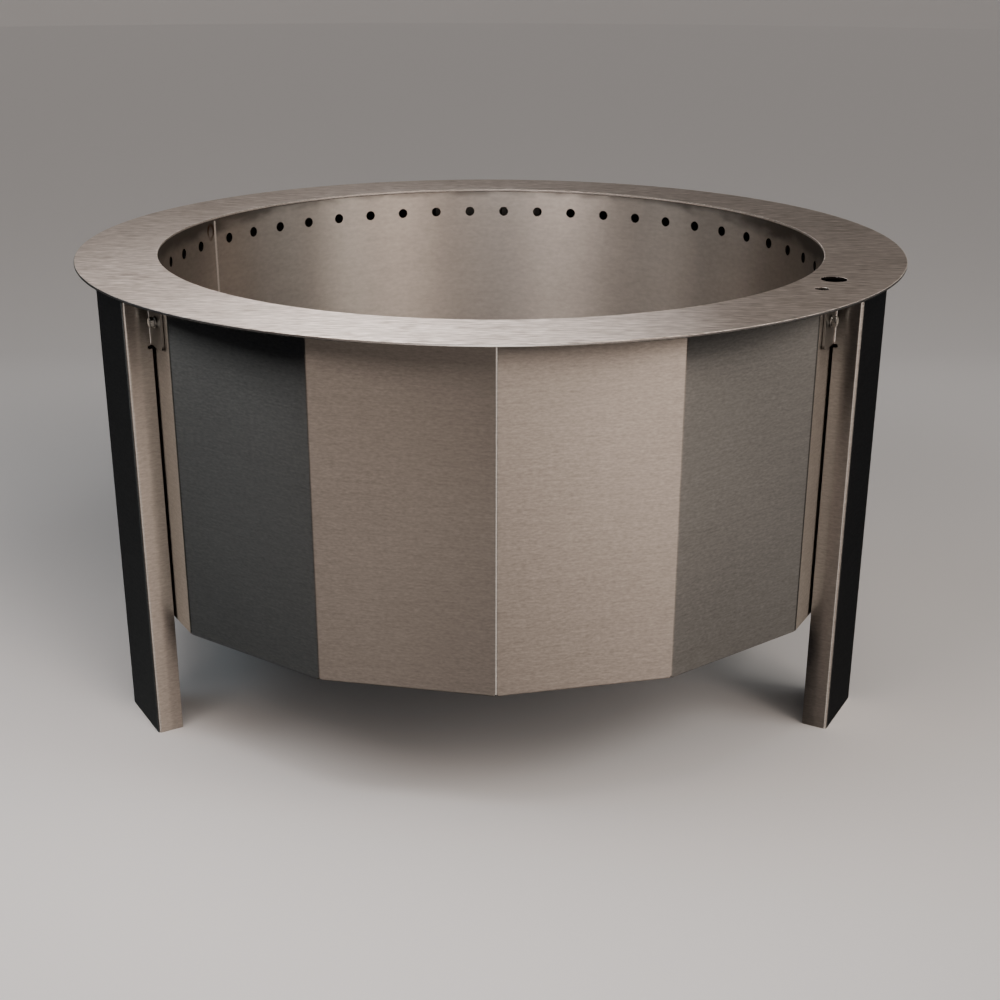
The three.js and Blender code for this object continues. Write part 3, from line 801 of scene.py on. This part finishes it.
# painted shade: a near-black copy of the cut-edge steel, for the chamber's cut edges and holes and the rim's post hole
PAINTED_SHADE_DARK_EDGE = cut_edge("dark_cut_edge_painted_shade", (0.018, 0.016, 0.015), (0.009, 0.008, 0.008), rough=0.62)
# painted shade: a darkened copy of the cut-edge steel, for the legs' edges and the rim's pin hole
PAINTED_SHADE_EDGE = cut_edge("painted_shade_cut_edge", (0.24, 0.225, 0.21), (0.15, 0.14, 0.13))
WELD = cast("weld", (0.96, 0.93, 0.89), (0.80, 0.765, 0.725), rough=0.38, scale=420, bump=0.12)
ZINC = cast("fastener_steel", (0.68, 0.67, 0.64), (0.50, 0.49, 0.46), rough=0.30, scale=500, bump=0.12)
GRATE = cast("grate_steel", (0.20, 0.19, 0.18), (0.11, 0.105, 0.10), rough=0.52, scale=260, metallic=0.85, bump=0.25, spots=0.5)
GRATE_EDGE = cut_edge("grate_edge", (0.26, 0.25, 0.235), (0.14, 0.135, 0.13), rough=0.45)


def finish_piece(ob, body, node):
    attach(ob, body)
    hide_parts(node)
    return ob


# ---------------------------------------------------------------------------
# Rim
# ---------------------------------------------------------------------------
def flat_z(z):
    def surf(u, v):
        u, v = np.asarray(u, float), np.asarray(v, float)
        return np.stack([u, v, np.full(u.shape, z)], -1), np.tile([0.0, 0.0, 1.0], (len(u), 1))
    return surf


def polar(radius, az):
    return radius * math.sin(rad(az)), -radius * math.cos(rad(az))


def make_rim():
    s = Shape()
    x, y = polar(POST_RADIUS, POST_AZ)
    x2, y2 = polar(PIN_RADIUS, PIN_AZ)
    holes = [circle(0, 0, OPENING_R, 480, True), circle(x, y, POST_R, 64, True), circle(x2, y2, PIN_R, 48, True)]
    slant = rad(-3.0)

    def grain(u, v):
        return np.stack([u * math.cos(slant) + v * math.sin(slant), -u * math.sin(slant) + v * math.cos(slant)], -1)
    sheet(s, circle(0, 0, RIM_R, 480), holes, flat_z(TOP), RIM_T, edge=0.8, steps=4, mats=(0, 1, 4), grain=grain, pierced=(5, 6))
    for az in HANGERS:
        n, t, z = axes(az)
        origin = n * STUD_N
        thread(s, 3.0, 480.0, TOP - RIM_T + 0.5, 1.0, origin, n, t, z, mat=2)
        lathe(s, [(0, 494.0), (3.0, 494.0), (3.5, 494.35), (4.3, 494.8), (4.6, 495.2), (0, 495.2)], 28, origin, n, t, z, mat=3)
    ob = s.make("rim", [RIM_STEEL, PAINTED_HIGHLIGHT_RIM_EDGE, ZINC, WELD, HIDDEN, PAINTED_SHADE_DARK_EDGE, PAINTED_SHADE_EDGE])
    return finish_piece(ob, "pit", "rim_ring")


# ---------------------------------------------------------------------------
# Fire chamber
# ---------------------------------------------------------------------------
def make_drum():
    s = Shape()
    seam = -65.4

    def surf(u, v):
        a = np.asarray(u, float) / DRUM_R
        c, d = np.sin(a), np.cos(a)
        zero = np.zeros(a.shape)
        return np.stack([DRUM_R * c, DRUM_R * d, v], -1), np.stack([-c, -d, zero], -1)
    u0, u1 = rad(seam) * DRUM_R, rad(seam + 360) * DRUM_R - 0.3
    outline = [(u0, DRUM_Z), (u1, DRUM_Z), (u1, UNDER), (u0, UNDER)]
    holes = []
    for k in range(HOLES):
        a = rad(HOLE_FIRST + HOLE_STEP * k)
        holes.append(circle(a * DRUM_R, HOLE_Z, HOLE_R, 40, True))
        if k % 2 == 0:
            holes.append(circle(a * DRUM_R, LOW_Z, LOW_R, 36, True))
    cuts = np.linspace(u0, u1, 241)[1:-1]
    sheet(s, outline, holes, surf, DRUM_T, cuts_u=cuts, edge=0.3, steps=2, pierced=(1, 1))
    a = rad(seam) - 0.15 / DRUM_R
    inwards = np.array([-math.sin(a), -math.cos(a), 0])
    along = np.array([math.cos(a), -math.sin(a), 0])
    zs = np.arange(DRUM_Z + 1.5, UNDER - 1.0, 0.9)
    line = np.stack([DRUM_R * math.sin(a) + zs * 0, DRUM_R * math.cos(a) + zs * 0, zs], 1)
    bead(s, line, along, inwards, 4.6, 0.5, 3.6, mat=2, seed=3)
    r = DRUM_R + DRUM_T
    line = np.stack([r * math.sin(a) + zs * 0, r * math.cos(a) + zs * 0, zs], 1)
    bead(s, line, -along, -inwards, 4.2, 0.6, 3.6, mat=2, seed=4)
    ob = s.make("fire_chamber", [ROLLED, PAINTED_SHADE_DARK_EDGE, WELD])
    return finish_piece(ob, "pit", "inner_drum")


def make_floor():
    s = Shape()
    sheet(s, circle(0, 0, DRUM_R - 0.5, 240), [circle(0, 0, 6, 32, True)], flat_z(163.0), 3.0, edge=0.4, steps=2)
    ob = s.make("chamber_base", [ROLLED, EDGE])
    return finish_piece(ob, "pit", "chamber_floor")


def slot_loop(x, y, length, width):
    """A round-ended slot, clockwise."""
    r = width / 2
    a = length / 2 - r
    pts = arc(x + a, y, r, 90, -90, 10) + arc(x - a, y, r, 270, 90, 10)
    return np.array(pts)


def make_grate():
    s = Shape()
    holes = []
    for row in range(-5, 6):
        y = row * 56
        shift = 0 if row % 2 == 0 else 62
        for col in range(-4, 5):
            x = col * 124 + shift
            if row == 0 and col == 0:
                continue
            if math.hypot(abs(x) + 48, abs(y) + 7) > 328:
                continue
            holes.append(slot_loop(x, y, 96, 14))
    holes.append(circle(0, 0, 17, 48, True))
    sheet(s, circle(0, 0, 350, 300), holes, flat_z(213.0), 3.0, edge=0.5, steps=2)
    ob = s.make("grate_plate", [GRATE, GRATE_EDGE])
    return finish_piece(ob, "grate", "fire_grate")


def make_grate_ring():
    s = Shape()
    R = 290.0

    def surf(u, v):
        a = np.asarray(u, float) / R
        c, d = np.sin(a), -np.cos(a)
        return np.stack([R * c, R * d, v], -1), np.stack([c, d, np.zeros(a.shape)], -1)
    z0, z1 = 163.3, 209.7
    start = rad(45)
    u0, u1 = start * R, (start + 2 * math.pi) * R - 0.3
    pts = [(u0, z0)]
    for k in range(1, 5):
        m = rad(90 * k) * R
        w = 70.5
        pts += [(m - w, z0)]
        pts += arc(m - w + 12, z0 + 20, 12, 180, 90, 6)
        pts += arc(m + w - 12, z0 + 20, 12, 90, 0, 6)
        pts += [(m + w, z0)]
    pts += [(u1, z0), (u1, z1), (u0, z1)]
    cuts = np.linspace(u0, u1, 181)[1:-1]
    sheet(s, pts, [], surf, 3.0, cuts_u=cuts, edge=0.4, steps=2)
    a = start - 0.15 / R
    outwards = np.array([math.sin(a), -math.cos(a), 0])
    along = np.array([math.cos(a), math.sin(a), 0])
    zs = np.arange(z0 + 1, z1 - 1, 0.9)
    line = np.stack([R * outwards[0] + zs * 0, R * outwards[1] + zs * 0, zs], 1)
    bead(s, line, along, outwards, 4.0, 0.6, 3.6, mat=0, seed=8)
    ob = s.make("grate_stand", [GRATE, GRATE_EDGE])
    return finish_piece(ob, "grate", "grate_ring")


# ---------------------------------------------------------------------------
# Outer wall
# ---------------------------------------------------------------------------
def on_facet(az, t, apothem):
    a = rad(az)
    return apothem * math.sin(a) + t * math.cos(a), -apothem * math.cos(a) + t * math.sin(a)


def make_panel(name, az0):
    az1 = az0 + 120
    bend = 7.0
    corner = APOTHEM / math.cos(rad(12))
    pts = [on_facet(az0, SEAM, APOTHEM)]
    corners = [az0 + 12 + 24 * i for i in range(5)]
    pts += [polar(corner, c) for c in corners]
    pts.append(on_facet(az1, -SEAM, APOTHEM))
    path = Path(pts, [bend] * 5, side=-1)
    R = 1.9
    zb = WALL_Z + R
    v1 = zb - R * math.pi / 2
    v2 = v1 - (APOTHEM - R - HEM_IN)
    facets = [az0 + 24 * i for i in range(6)]
    runs = [(s0, s1) for s0, s1, _, _ in path.runs]

    def surf(u, v):
        u, v = np.asarray(u, float), np.asarray(v, float)
        p, q = path(u)
        P = np.stack([p[:, 0], p[:, 1], v], -1)
        N = np.stack([q[:, 0], q[:, 1], np.zeros(len(u))], -1)
        low = v < zb
        if low.any():
            a = np.clip((zb - v[low]) / R, 0, math.pi / 2)
            back = R * (1 - np.cos(a)) + np.clip(v1 - v[low], 0, None)
            P[low] -= N[low] * back[:, None]
            P[low, 2] = zb - R * np.sin(a)
            N[low] = N[low] * np.cos(a)[:, None] - np.sin(a)[:, None] * np.array([0, 0, 1.0])
        return P, N

    outline = [(0.0, UNDER)]
    half = APOTHEM * math.tan(rad(12))
    for i, (s0, s1) in enumerate(runs):
        # position along the facet at the run's ends
        end_left, end_right = i == 0, i == len(runs) - 1
        mitre = (APOTHEM - HEM_IN - bend) * math.tan(rad(12)) + 0.3
        inner, inner2 = (0 if end_left else mitre), (0 if end_right else mitre)
        if not end_left:
            outline.append((s0, zb + 0.4))
            outline.append((s0, v1))
            outline.append((s0 + inner, v2))
        else:
            outline.append((s0, v2))
        if not end_right:
            outline.append((s1 - inner2, v2))
            outline.append((s1, v1))
            outline.append((s1, zb + 0.4))
        else:
            outline.append((s1, v2))
    outline.append((path.last, UNDER))
    holes = [circle(BOLT_T - SEAM, BOLT_Z, 3.6, 32, True), circle(path.last - (BOLT_T - SEAM), BOLT_Z, 3.6, 32, True)]
    s = Shape()
    sheet(s, outline, holes, surf, WALL_T, cuts_u=path.cuts(5), cuts_v=list(np.linspace(v1, zb, 7)), edge=0.22, steps=2, mats=(0, 1, 2))
    ob = s.make(name + "_skin", [STEEL, EDGE, PAINTED_SHADE_INNER])
    return finish_piece(ob, "pit", name)


def make_splice(side, az):
    n, t, z = axes(az)

    def surf(u, v):
        u, v = np.asarray(u, float), np.asarray(v, float)
        return u[:, None] * t + v[:, None] * z + 423.2 * n, np.tile(n, (len(u), 1))
    top = 492.7
    outline = [(-25, 137), (25, 137), (25, 355), (75, 390), (75, top), (20, top), (20, 402)]
    outline += arc(18, 402, 2, 0, -90, 4)[1:] + arc(-18, 402, 2, -90, -180, 4)
    outline += [(-20, top), (-75, top), (-75, 390), (-25, 355)]
    s = Shape()
    sheet(s, outline, [circle(61, 468, 3.6, 32, True), circle(-61, 468, 3.6, 32, True)], surf, 1.8, edge=0.25)
    ob = s.make("splice_plate_" + side, [HIDDEN, EDGE])
    return finish_piece(ob, "pit", "splice_" + side)


# ---------------------------------------------------------------------------
# Legs
# ---------------------------------------------------------------------------
def make_leg(side, az):
    n, t, z = axes(az)
    inner_r = 1.2
    outer_r = inner_r + LEG_T
    high = Path([(-EAR_T, EAR_N), (-HALF_W, EAR_N), (-HALF_W, FACE), (HALF_W, FACE), (HALF_W, EAR_N), (EAR_T, EAR_N)],
                [inner_r, outer_r, outer_r, inner_r])
    shift = high.length / 2
    low = Path([(-HALF_W, 420), (-HALF_W, FACE), (HALF_W, FACE), (HALF_W, 420)], [outer_r, outer_r])
    shift_low = low.length / 2
    web = HALF_W - outer_r                     # flat half of the face
    s_f0 = web + outer_r * math.pi / 2         # where the flange starts
    free = s_f0 + (FACE - outer_r - 427.0)     # flange edge below the ears
    notch = s_f0 + (FACE - outer_r - 431.8)
    ear0 = s_f0 + (FACE - outer_r - EAR_N - inner_r) + inner_r * math.pi / 2

    def ear(tt):
        return ear0 + tt - (HALF_W + inner_r)
    R = outer_r
    z1 = LEG_TOP - R
    z2 = z1 + R * math.pi / 2
    tab_end = z2 + (FACE - R - 431.3)

    def surf(u, v):
        u, v = np.asarray(u, float), np.asarray(v, float)
        p, q = high(u + shift)
        p2, q2 = low(u + shift_low)
        below = v < EAR_Z - 2
        p[below], q[below] = p2[below], q2[below]
        P = p[:, :1] * t + p[:, 1:] * n + v[:, None] * z
        N = q[:, :1] * t + q[:, 1:] * n
        tab = (v > z1) & (np.abs(u) < 38.8)
        if tab.any():
            a = np.clip((v[tab] - z1) / R, 0, math.pi / 2)
            back = R * (1 - np.cos(a)) + np.clip(v[tab] - z2, 0, None)
            P[tab] = u[tab][:, None] * t + (FACE - back)[:, None] * n + (z1 + R * np.sin(a))[:, None] * z
            N[tab] = np.cos(a)[:, None] * n + np.sin(a)[:, None] * z
        return P, N

    right = [(free, 0)]
    right = [(free - 1.0, 0.0), (free, 1.0), (free, EAR_Z - 4)]
    right += arc(notch + 2.0, EAR_Z - 2, 2.0, 270, 90, 8)
    r = 7.0
    right += [(ear(EAR_T - r), EAR_Z)]
    right += arc(ear(EAR_T - r), EAR_Z + r, r, -90, 0, 8)[1:]
    right += [(ear(EAR_T), LEG_TOP - 0.8), (ear(EAR_T) - 0.8, LEG_TOP)]
    right += [(web + 0.2, LEG_TOP)] + [(web + 0.2, 489.4)]
    right += arc(web - 0.6, 489.4, 0.8, 0, -90, 3)[1:] + arc(38.8, 489.4, 0.8, -90, -180, 3)
    right += [(38.0, tab_end - 4), (34.0, tab_end)]
    left = [(-a, b) for a, b in reversed(right)]
    outline = right + left
    holes = [circle(ear(BOLT_T), BOLT_Z, 3.6, 32, True), circle(-ear(BOLT_T), BOLT_Z, 3.6, 32, True)]
    cuts = [c - shift for c in high.cuts(6)]
    s = Shape()
    sheet(s, outline, holes, surf, LEG_T, cuts_u=cuts, cuts_v=list(np.linspace(z1, z2, 7)) + [EAR_Z - 2], edge=0.35, steps=2)
    ob = s.make("leg_channel_" + side, [LEG_STEEL, PAINTED_SHADE_EDGE])
    return finish_piece(ob, "pit", "leg_" + side)


def make_fasteners(side, az):
    n, t, z = axes(az)
    rng = np.random.RandomState({"left": 11, "right": 12, "rear": 13}[side])
    for k, tt in ((1, -BOLT_T), (2, BOLT_T)):
        origin = tt * t + BOLT_Z * z
        spin = rad(rng.uniform(0, 60)) if not (side == "right" and k == 1) else rad(30)
        ex = math.cos(spin) * t + math.sin(spin) * z
        ey = np.cross(n, ex)
        s = Shape()
        hex_head(s, 10, 4.0, origin + n * 430.0, ex, ey, n)
        thread(s, 3.0, 410.9, 430.05, 1.0, origin, ex, ey, n, cone=0.9)
        finish_piece(s.make(f"bolt_{side}_{k}", [ZINC]), "pit", f"leg_{side}_bolt_{k}")
        s = Shape()
        prof = [(3.45, 428.25), (3.6, 428.1), (5.9, 428.1), (6.2, 428.35), (6.2, 429.45), (5.9, 429.7), (3.6, 429.7), (3.45, 429.55)]
        ring_body(s, prof, 48, origin, ex, ey, n)
        finish_piece(s.make(f"washer_{side}_{k}", [ZINC]), "pit", f"leg_{side}_washer_{k}")
        s = Shape()
        hex_nut(s, 10, 5.2, 3.45, origin + n * 415.9, ex, ey, n)
        finish_piece(s.make(f"nut_{side}_{k}", [ZINC]), "pit", f"leg_{side}_nut_{k}")


# ---------------------------------------------------------------------------
# Between the walls
# ---------------------------------------------------------------------------
def make_hanger(i, az):
    n, t, z = axes(az)
    z1 = 494.6
    path = Path([(395, z1), (423.2, z1), (423.2, 470)], [2.6])
    s = Shape()
    L = path.length
    r = 3.0
    outline = [(0, -15), (L - r, -15)] + arc(L - r, -15 + r, r, -90, 0, 4)[1:] + arc(L - r, 15 - r, r, 0, 90, 4) + [(0, 15)]
    sheet(s, outline, [circle(STUD_N - 395, 0, 3.6, 32, True)], in_side(path, az), 1.6, cuts_u=path.cuts(5), edge=0.25)
    finish_piece(s.make(f"hanger_bracket_{i}", [HIDDEN, EDGE]), "pit", f"rim_bracket_{i}")
    s = Shape()
    hex_nut(s, 10, 5.2, 3.45, n * STUD_N + z * 487.5, n, t, z)
    finish_piece(s.make(f"hanger_nut_{i}", [ZINC]), "pit", f"rim_nut_{i}")
    path = Path([(384.1, 182), (384.1, 152), (423.2, 152), (423.2, 176)], [2.6, 2.6], side=-1)
    s = Shape()
    L = path.length
    outline = [(2, -11), (L - 2, -11), (L, -9), (L, 9), (L - 2, 11), (2, 11), (0, 9), (0, -9)]
    sheet(s, outline, [], in_side(path, az), 1.6, cuts_u=path.cuts(5), edge=0.25)
    finish_piece(s.make(f"spacer_{i}", [HIDDEN, EDGE]), "pit", f"wall_spacer_{i}")


def make_post_bracket():
    az = 60
    turn = rad(POST_AZ - 60)
    tc, xc = POST_RADIUS * math.sin(turn), POST_RADIUS * math.cos(turn)
    x0, x1 = DRUM_R + DRUM_T + 1.4, 420.5
    R = 3.2
    path = Path([(x1, 404), (x0, 404), (x0, 442), (x1, 442)], [R, R], side=1)
    L = path.length
    on_top = path.runs[2][0] - (x0 + R)
    outline = [(0, tc + 21), (0, tc - 21), (L, tc - 21), (L, tc - 13.4)]
    outline += [(on_top + xc + 13.4 * math.cos(rad(a)), tc + 13.4 * math.sin(rad(a))) for a in np.linspace(-90, -270, 25)]
    outline += [(L, tc + 13.4), (L, tc + 21)]
    outline = np.array(outline)
    s = Shape()
    sheet(s, outline, [circle(x1 - xc, tc, 4, 32, True)], in_side(path, az), 2.0, cuts_u=path.cuts(5), edge=0.3)
    return finish_piece(s.make("post_guide", [HIDDEN, EDGE]), "pit", "post_bracket")


def make_pin_tab():
    az = 60
    tp = PIN_RADIUS * math.sin(rad(PIN_AZ - 60))
    x0 = DRUM_R + DRUM_T + 2.0
    path = Path([(419.5, 484), (x0, 484), (x0, 493)], [3.0], side=1)
    L = path.length
    s = Shape()
    outline = [(2, tp - 12), (L, tp - 12), (L, tp + 12), (2, tp + 12), (0, tp + 10), (0, tp - 10)]
    sheet(s, outline, [], in_side(path, az), 2.0, cuts_u=path.cuts(5), edge=0.3)
    return finish_piece(s.make("pin_shelf", [HIDDEN, EDGE]), "pit", "pin_tab")


make_rim()
make_drum()
make_floor()
make_grate()
make_grate_ring()
for panel, start in (("outer_panel_front", -60), ("outer_panel_right", 60), ("outer_panel_left", 180)):
    make_panel(panel, start)
for side, az in LEGS.items():
    make_splice(side, az)
    make_leg(side, az)
    make_fasteners(side, az)
for i, az in enumerate(HANGERS, 1):
    make_hanger(i, az)
make_post_bracket()
make_pin_tab()


# ---------------------------------------------------------------------------
# Floor and light
# ---------------------------------------------------------------------------
def make_stage():
    me = bpy.data.meshes.new("floor")
    pts, faces = [], []
    n = 96
    rings = [(0, 0.0), (2.0, 0.0), (4.0, 0.0), (7.0, 0.0), (14.0, 0.0), (18.0, 0.4), (22.0, 1.6), (26.0, 3.6), (30.0, 6.4)]
    pts.append((0, 0, 0))
    for r, zz in rings[1:]:
        for i in range(n):
            a = 2 * math.pi * i / n
            pts.append((r * math.cos(a), r * math.sin(a), zz))
    for i in range(n):
        faces.append((0, 1 + i, 1 + (i + 1) % n))
    for k in range(len(rings) - 2):
        for i in range(n):
            j = (i + 1) % n
            faces.append((1 + k * n + i, 1 + (k + 1) * n + i, 1 + (k + 1) * n + j, 1 + k * n + j))
    me.from_pydata(pts, [], faces)
    ob = bpy.data.objects.new("floor", me)
    bpy.context.scene.collection.objects.link(ob)
    mat, nt, bsdf = nodes_of("studio_floor")
    bsdf.inputs["Base Color"].default_value = (0.84, 0.87, 0.90, 1)
    bsdf.inputs["Roughness"].default_value = 0.75
    bsdf.inputs["Specular IOR Level"].default_value = 0.25
    me.materials.append(mat)
    ob.visible_glossy = False


def area(name, place, aim, size, power, colour=(1, 1, 1), spread=180):
    data = bpy.data.lights.new(name, "AREA")
    data.shape = "RECTANGLE"
    data.size, data.size_y = size
    data.energy = power
    data.color = colour
    data.spread = rad(spread)
    ob = bpy.data.objects.new(name, data)
    bpy.context.scene.collection.objects.link(ob)
    ob.location = place
    ob.rotation_mode = "QUATERNION"
    ob.rotation_quaternion = (Vector(aim) - Vector(place)).to_track_quat("-Z", "Y")
    return ob


def around(az, distance, height):
    """A point at an azimuth from -Y towards +X."""
    return distance * math.sin(rad(az)), -distance * math.cos(rad(az)), height


def soft_world(patches, ambient):
    """Round soft patches of light on the sky. Each is (azimuth, elevation, width, height, strength, colour), in degrees from -Y towards +X."""
    world = bpy.data.worlds.new("studio")
    bpy.context.scene.world = world
    world.use_nodes = True
    nt = world.node_tree
    background = nt.nodes["Background"]
    tc = nt.nodes.new("ShaderNodeTexCoord")
    sep = nt.nodes.new("ShaderNodeSeparateXYZ")
    link(nt, tc.outputs["Generated"], sep.inputs[0])
    az = math_node(nt, "ARCTAN2", sep.outputs["X"], math_node(nt, "MULTIPLY", sep.outputs["Y"], -1.0))
    el = math_node(nt, "ARCSINE", sep.outputs["Z"])
    total = None
    for a, e, wide, high, strength, colour in patches:
        x = math_node(nt, "WRAP", math_node(nt, "SUBTRACT", az, rad(a)), math.pi, -math.pi)
        x = math_node(nt, "DIVIDE", x, rad(wide))
        y = math_node(nt, "DIVIDE", math_node(nt, "SUBTRACT", el, rad(e)), rad(high))
        q = math_node(nt, "MULTIPLY_ADD", y, y, math_node(nt, "MULTIPLY", x, x))
        f = math_node(nt, "EXPONENT", math_node(nt, "MULTIPLY", q, -0.5))
        n = nt.nodes.new("ShaderNodeVectorMath")
        n.operation = "SCALE"
        n.inputs[0].default_value = tuple(strength * c for c in colour)
        link(nt, f, n.inputs["Scale"])
        add = nt.nodes.new("ShaderNodeVectorMath")
        add.operation = "ADD"
        link(nt, n.outputs[0], add.inputs[0])
        if total is None:
            add.inputs[1].default_value = ambient
        else:
            link(nt, total, add.inputs[1])
        total = add.outputs[0]
    link(nt, total, background.inputs["Color"])


make_stage()
WARM, DUSK, PLAIN, COOL = (1.0, 0.83, 0.72), (1.0, 0.90, 0.81), (1.0, 0.94, 0.88), (0.90, 0.99, 1.04)
soft_world([
    (0, -16, 7, 14, 3.4, PLAIN),
    (-24, -14, 9, 14, 0.4, WARM),
    (-108, 30, 9, 14, 0.7, COOL),
    (36, 30, 9, 14, 5.1, WARM),
    (48, 30, 9, 14, 1.3, WARM),
    (89, 30, 12, 14, 1.6, PLAIN),
    (156, 40, 14, 16, 0.2, PLAIN),
    (-156, 40, 14, 16, 0.2, PLAIN),
], (0.011, 0.012, 0.014))
for name, az, distance, height, size, power, colour in (
        ("side_left", -95, 1.8, 1.5, 0.6, 0.8, COOL),
        ("left", -80, 1.8, 1.5, 0.6, 2.1, COOL),
        ("front_left", -34, 0.95, 1.2, 0.7, 3.2, WARM),
        ("front_left_far", -34, 1.8, 1.5, 0.6, 2.0, WARM),
        ("front_right", 20, 0.85, 0.85, 0.5, 1.0, WARM),
        ("front_right_far", 36, 1.8, 1.5, 0.6, 0.4, WARM),
        ("right_far", 65, 1.8, 1.5, 0.6, 7.6, DUSK),
        ("side_right", 82, 0.85, 0.85, 0.5, 0.3, DUSK)):
    area(name, around(az, distance, height), (0, 0, 0.35), (size, size), power, colour).visible_camera = False
for name, x, power in (("over_left", -0.7, 0.5), ("over", -0.4, 1.9), ("over_front", -0.1, 5.0)):
    area(name, (x, -0.35, 1.0), (0.5 * x, -0.375, 0.45), (0.55, 0.55), power, (1.0, 0.91, 0.87)).visible_camera = False

area("low_back", (0, 1.35, 0.36), (0, 0, 0.36), (2.5, 0.2), 0.5, PLAIN).visible_camera = False
